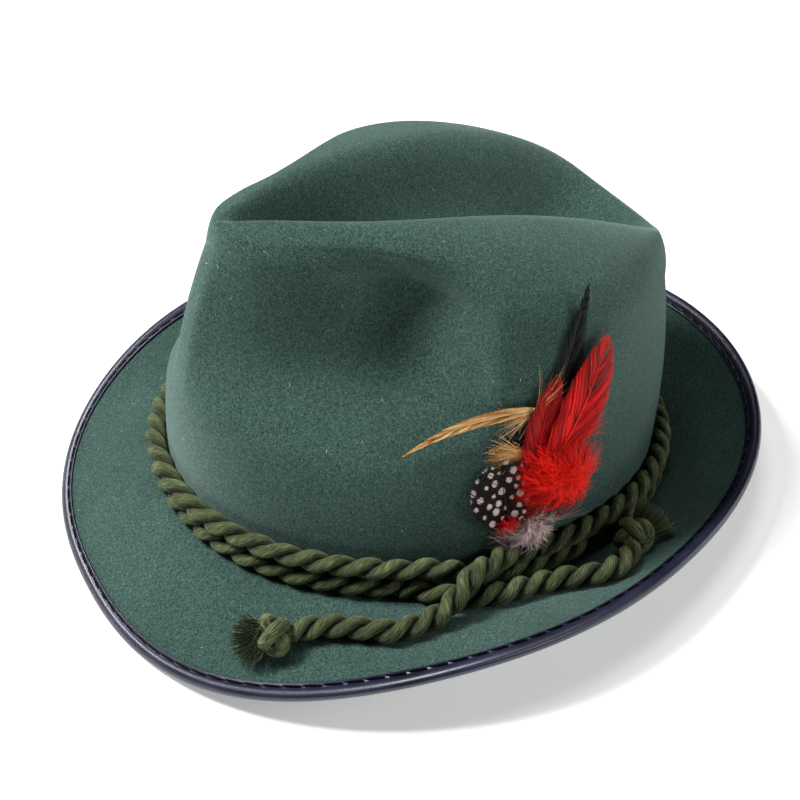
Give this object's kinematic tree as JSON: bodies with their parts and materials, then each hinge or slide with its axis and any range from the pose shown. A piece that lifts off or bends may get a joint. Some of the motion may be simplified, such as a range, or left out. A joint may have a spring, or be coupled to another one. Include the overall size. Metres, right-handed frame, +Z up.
{
  "type": "tyrolean hat",
  "caption": "Felt hat with a creased and pinched crown, a brim turned down in front and up behind, a bound edge, a cord wound round the crown and a feather spray.",
  "frame": {"origin": "on the surface that the hat rests on, under the middle of its length", "axes": "+Z up; the front of the hat faces -Y; the wearer's left, with the feathers, is +X"},
  "size_m": [0.2638, 0.298, 0.1477],
  "materials": {
    "felt": "brushed felt, matte",
    "binding": "smooth satin tape",
    "cord": "twisted cotton",
    "feather_black": "glossy vane",
    "feather_tan": "vane",
    "feather_red": "dyed vane and down",
    "feather_spotted": "dark vane with pale spots",
    "down_pale": "soft down"
  },
  "bodies": {
    "root": {"felt_body": "felt", "edge_binding": "binding", "cord_band": "cord", "cord_tail_front": "cord", "cord_tail_back": "cord", "cord_knot_front": "cord", "cord_knot_back": "cord", "feather_black": "feather_black", "feather_tan": "feather_tan", "feather_dark": "feather_black", "feather_red_short": "feather_red", "feather_red_long": "feather_red", "feather_tuft": "feather_tan", "feather_spotted": "feather_spotted", "fluff_red": "feather_red", "fluff_pale": "down_pale"}
  },
  "joints": []
}
